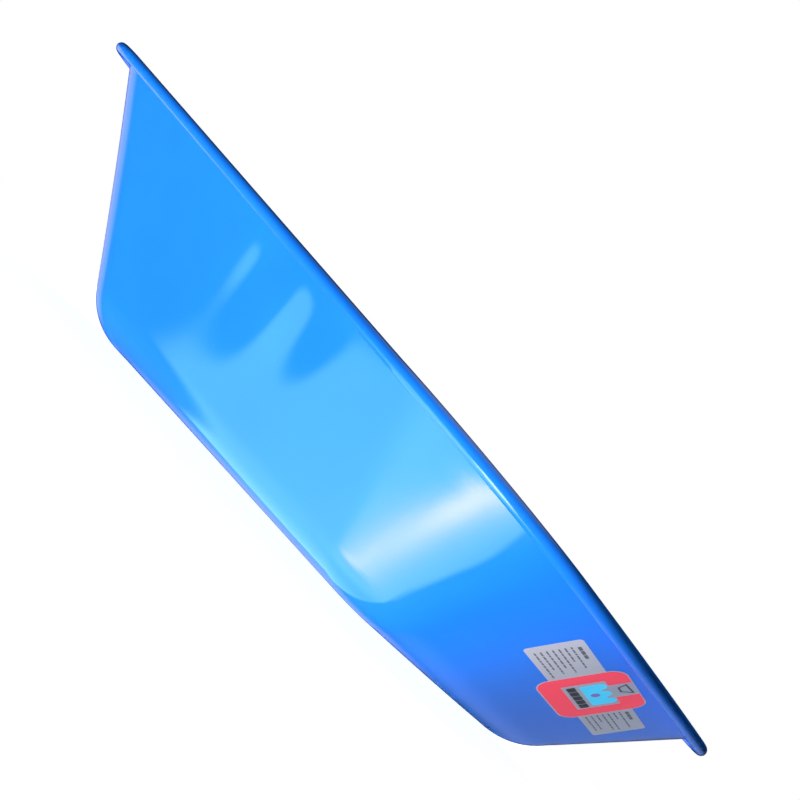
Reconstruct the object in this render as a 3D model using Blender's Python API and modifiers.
"""Wheelbarrow tray of 85 litres: a deep-drawn steel pan, the wire that its rim is rolled round, and its label.

Metres, +Z up. The origin is on the underside of the floor, in the middle of the tray's length and width.
+X points to the shallow end, which carries the label, and -X to the deep nose.
"""

import math
from collections import namedtuple

import bpy
from mathutils import Vector

UP = Vector((0, 0, 1))

# Sheet and rim
SHEET = 0.0010
WIRE_RADIUS = 0.0050
WIRE_CLEARANCE = 0.0005  # between the wire and the curl around it
CURL_RADIUS = WIRE_RADIUS + WIRE_CLEARANCE  # of the curl's inner face
CURL_TURN = math.radians(292)  # from the top of the flange round to the cut edge
FLANGE_REACH = 0.0152  # from the wall to the middle of the wire, at the wire's height
FLANGE_BEND_RADIUS = 0.006  # underside, where the wall turns out into the flange

# Plan: the floor and the rim turn through the same angles
END_BOW = math.radians(5.7)  # half the angle that the shallow end's arc turns through
NOSE_BOW = math.radians(8.0)
SIDE_ANGLE = math.radians(86.5)  # direction in which a side faces; under 90, the tray widens towards the nose
Outline = namedtuple("Outline", "end_half_width end_corner_radius side_length nose_corner_radius")
RIM = Outline(0.1845, 0.153, 0.605, 0.135)
FLOOR = Outline(0.130, 0.0705, 0.447, 0.088)

# Elevation
END_HEIGHT = 0.1408  # of the wire's middle above the floor's underside, at the shallow end
RIM_RISE = 0.136  # climb of the rim for each metre towards the nose
END_SETBACK = 0.1135  # of the floor's edge from the rim at the shallow end
FLOOR_RADIUS = 0.084  # between the floor and the walls

# Frame bolts: the rails under the tray come closer together towards the wheel
BOLT_HOLE_RADIUS = 0.0045
BOLT_ROWS = ((-0.110, 0.075), (0.170, 0.095))  # (x, half the spacing in y)
BOLT_CUTTER_LENGTH = 0.02

# Label
LABEL_THICKNESS = 0.0003
LABEL_GAP = 0.0004
LABEL_DROP = 0.0555  # from the rim's line down the wall to the label's middle
LABEL_SHIFT = 0.031  # of the label's middle towards +Y
LABEL_TILT = math.radians(1.9)
BAND_SIZE = (0.230, 0.0535)
BAND_CORNER = 0.004
PANEL_SIZE = (0.097, 0.086)  # the wide part, whose corner radius is what it stands out beyond the band
PANEL_SHIFT = 0.003  # of the panel's middle along the band

# Fineness
END_STEPS, CORNER_STEPS, SIDE_STEPS = 4, 10, 6
FLOOR_BEND_STEPS, FLANGE_BEND_STEPS, CURL_STEPS = 6, 3, 12
WIRE_SIDES = 10
BOLT_HOLE_SIDES = 16
LABEL_CORNER_STEPS = 4

Station = namedtuple("Station", "floor rim out")


def clear_scene():
    for obj in list(bpy.data.objects):
        bpy.data.objects.remove(obj, do_unlink=True)


def direction(angle):
    return Vector((math.cos(angle), math.sin(angle), 0))


def half_outline(outline, apex_x):
    """(point, direction that it faces) along the +Y half of an outline, from the shallow end to the nose."""
    point, facing = Vector((apex_x, 0, 0)), 0.0
    places = [(point, facing)]

    def arc(radius, turn, steps):
        nonlocal point, facing
        centre = point - radius * direction(facing)
        for _ in range(steps):
            facing += turn / steps
            places.append((centre + radius * direction(facing), facing))
        point = places[-1][0]

    arc(outline.end_half_width / math.sin(END_BOW), END_BOW, END_STEPS)
    arc(outline.end_corner_radius, SIDE_ANGLE - END_BOW, CORNER_STEPS)
    along = direction(facing + math.pi / 2)
    for k in range(1, SIDE_STEPS + 1):
        places.append((point + along * outline.side_length * k / SIDE_STEPS, facing))
    point = places[-1][0]
    arc(outline.nose_corner_radius, math.pi - NOSE_BOW - facing, CORNER_STEPS)
    arc(point.y / math.sin(NOSE_BOW), NOSE_BOW, END_STEPS)
    return places


def rim_height(x, apex_x):
    return END_HEIGHT + RIM_RISE * (apex_x - x)


def rim_apex():
    """X of the rim's line at the shallow end, which puts the origin in the middle of the tray's length."""
    nose_x = half_outline(RIM, 0.0)[-1][0].x
    return -nose_x / 2


def make_stations():
    """The sections of the tray, once round from the shallow end's middle. The -Y half mirrors the +Y half."""
    apex_x = rim_apex()
    floor = half_outline(FLOOR, apex_x - END_SETBACK)
    rim = half_outline(RIM, apex_x)
    half = []
    for (low, facing), (high, _) in zip(floor, rim):
        high = high + UP * rim_height(high.x, apex_x)
        half.append(Station(low, high, direction(facing)))
    flip = Vector((1, -1, 1))
    return half + [Station(*(v * flip for v in station)) for station in half[-2:0:-1]]


def section(station):
    """Points on the sheet's underside, from the flat floor out to the rim's cut edge."""
    floor, rim, out = station
    wall = (rim - floor).normalized()
    square = (wall - wall.dot(out) * out).normalized()
    turn = math.acos(wall.dot(out))
    points = []

    start = floor - out * FLOOR_RADIUS * math.tan(turn / 2)
    for k in range(FLOOR_BEND_STEPS + 1):
        angle = turn * k / FLOOR_BEND_STEPS
        points.append(start + FLOOR_RADIUS * (out * math.sin(angle) + square * (1 - math.cos(angle))))

    # The flange lies level with the top of the wire, and the wall's line is carried up to it.
    corner = rim + wall * CURL_RADIUS / wall.z
    reach = FLANGE_BEND_RADIUS * math.tan(turn / 2)
    for k in range(FLANGE_BEND_STEPS + 1):
        angle = turn * (1 - k / FLANGE_BEND_STEPS)
        from_axis = -out * math.sin(angle) - square * (1 - math.cos(angle))
        bend = corner + out * reach + FLANGE_BEND_RADIUS * from_axis
        points.append(bend)

    middle = wire_point(station)
    for k in range(CURL_STEPS + 1):
        angle = math.pi / 2 - CURL_TURN * k / CURL_STEPS
        points.append(middle + CURL_RADIUS * (out * math.cos(angle) + UP * math.sin(angle)))
    return points


def wire_point(station):
    return station.rim + station.out * FLANGE_REACH


def mesh_object(name, verts, faces, material, collection):
    mesh = bpy.data.meshes.new(name)
    mesh.from_pydata([tuple(v) for v in verts], [], faces)
    mesh.materials.append(material)
    mesh.shade_smooth()
    mesh.set_sharp_from_angle(angle=math.radians(40))
    obj = bpy.data.objects.new(name, mesh)
    collection.objects.link(obj)
    return obj


def make_material(name, colour, roughness, metallic):
    material = bpy.data.materials.new(name)
    material.use_nodes = True
    shader = material.node_tree.nodes["Principled BSDF"]
    shader.inputs["Base Color"].default_value = (*colour, 1)
    shader.inputs["Roughness"].default_value = roughness
    shader.inputs["Metallic"].default_value = metallic
    return material


def make_bolt_cutters(collection):
    places = [(x, side * half) for x, half in BOLT_ROWS for side in (-1, 1)]
    for number, (x, y) in enumerate(places, 1):
        bpy.ops.mesh.primitive_cylinder_add(
            vertices=BOLT_HOLE_SIDES, radius=BOLT_HOLE_RADIUS, depth=BOLT_CUTTER_LENGTH, location=(x, y, 0))
        cutter = bpy.context.object
        cutter.name = f"bolt_hole_cutter_{number}"
        for owner in list(cutter.users_collection):
            owner.objects.unlink(cutter)
        collection.objects.link(cutter)
        cutter.hide_render = True
        cutter.display_type = "WIRE"


def make_pan(stations, paint, collection, cutters):
    """The sheet's underside as an open surface, thickened inwards, with bolt holes through the floor."""
    rings = [section(station) for station in stations]
    count, depth = len(rings), len(rings[0])
    verts = [point for ring in rings for point in ring]
    faces = [tuple(i * depth for i in reversed(range(count)))]
    for i in range(count):
        j = (i + 1) % count
        for k in range(depth - 1):
            faces.append((i * depth + k, j * depth + k, j * depth + k + 1, i * depth + k + 1))
    pan = mesh_object("tray_pan", verts, faces, paint, collection)
    thicken = pan.modifiers.new("sheet", "SOLIDIFY")
    thicken.thickness = SHEET
    thicken.offset = -1
    thicken.use_even_offset = True
    holes = pan.modifiers.new("bolt_holes", "BOOLEAN")
    holes.operation = "DIFFERENCE"
    holes.operand_type = "COLLECTION"
    holes.collection = cutters
    return pan


def make_wire(stations, steel, collection):
    """The closed ring inside the curl. Its section stays upright, as the curl's does."""
    verts, faces = [], []
    for station in stations:
        for k in range(WIRE_SIDES):
            angle = 2 * math.pi * k / WIRE_SIDES
            spoke = station.out * math.cos(angle) + UP * math.sin(angle)
            verts.append(wire_point(station) + WIRE_RADIUS * spoke)
    count = len(stations)
    for i in range(count):
        j = (i + 1) % count
        for k in range(WIRE_SIDES):
            m = (k + 1) % WIRE_SIDES
            faces.append((i * WIRE_SIDES + k, j * WIRE_SIDES + k, j * WIRE_SIDES + m, i * WIRE_SIDES + m))
    return mesh_object("rim_wire", verts, faces, steel, collection)


def end_wall(y, drop):
    """(point, normal) on the shallow end's outer face at y, and drop below the rim's line along the wall."""
    share = drop / math.hypot(END_SETBACK, END_HEIGHT)
    apex_x = rim_apex()
    rim_bow, floor_bow = (outline.end_half_width / math.sin(END_BOW) for outline in (RIM, FLOOR))
    facing = math.asin(y / ((1 - share) * rim_bow + share * floor_bow))
    rim = Vector((apex_x - rim_bow, 0, 0)) + rim_bow * direction(facing)
    rim.z = rim_height(rim.x, apex_x)
    floor = Vector((apex_x - END_SETBACK - floor_bow, 0, 0)) + floor_bow * direction(facing)
    normal = direction(facing + math.pi / 2).cross(rim - floor).normalized()
    return rim.lerp(floor, share), normal


def label_columns():
    """(distance along the band from its middle, half the label's height there), from end to end."""
    half_band, half_panel = BAND_SIZE[1] / 2, PANEL_SIZE[1] / 2

    def rise(start, height, radius):
        angles = [math.pi / 2 * k / LABEL_CORNER_STEPS for k in range(LABEL_CORNER_STEPS + 1)]
        return [(start + radius * (1 - math.cos(a)), height + radius * math.sin(a)) for a in angles]

    def half(panel_middle):
        band_end, panel_end = -BAND_SIZE[0] / 2, panel_middle - PANEL_SIZE[0] / 2
        columns = rise(band_end, half_band - BAND_CORNER, BAND_CORNER)
        columns.append(((band_end + panel_end) / 2, half_band))
        return columns + rise(panel_end, half_band, half_panel - half_band)

    far_half = [(-along, height) for along, height in reversed(half(-PANEL_SHIFT))]
    return half(PANEL_SHIFT) + [(PANEL_SHIFT, half_panel)] + far_half


def make_label(film, collection):
    """A die-cut label laid along the curve of the end wall."""
    verts = []
    for along, height in label_columns():
        for rise in (-height, height):
            y = LABEL_SHIFT + along * math.cos(LABEL_TILT) + rise * math.sin(LABEL_TILT)
            drop = LABEL_DROP + along * math.sin(LABEL_TILT) - rise * math.cos(LABEL_TILT)
            point, normal = end_wall(y, drop)
            verts += [point + normal * LABEL_GAP, point + normal * (LABEL_GAP + LABEL_THICKNESS)]
    # Each column has four corners: inner and outer at the bottom, then inner and outer at the top.
    around = (0, 2, 3, 1)
    last = len(verts) - 4
    faces = [around[::-1], tuple(last + c for c in around)]
    for base in range(0, last, 4):
        for k in range(4):
            a, b = around[k], around[(k + 1) % 4]
            faces.append((base + a, base + b, base + 4 + b, base + 4 + a))
    return mesh_object("capacity_label", verts, faces, film, collection)


def main():
    clear_scene()
    tray = bpy.data.collections.new("wheelbarrow_tray")
    cutters = bpy.data.collections.new("cutters")
    bpy.context.scene.collection.children.link(tray)
    bpy.context.scene.collection.children.link(cutters)
    paint = make_material("blue_paint", (0.012, 0.20, 0.86), 0.18, 0.0)
    steel = make_material("bare_steel", (0.50, 0.50, 0.49), 0.35, 1.0)
    film = make_material("grey_film", (0.38, 0.38, 0.42), 0.45, 0.0)
    stations = make_stations()
    make_bolt_cutters(cutters)
    make_pan(stations, paint, tray, cutters)
    make_wire(stations, steel, tray)
    make_label(film, tray)


main()
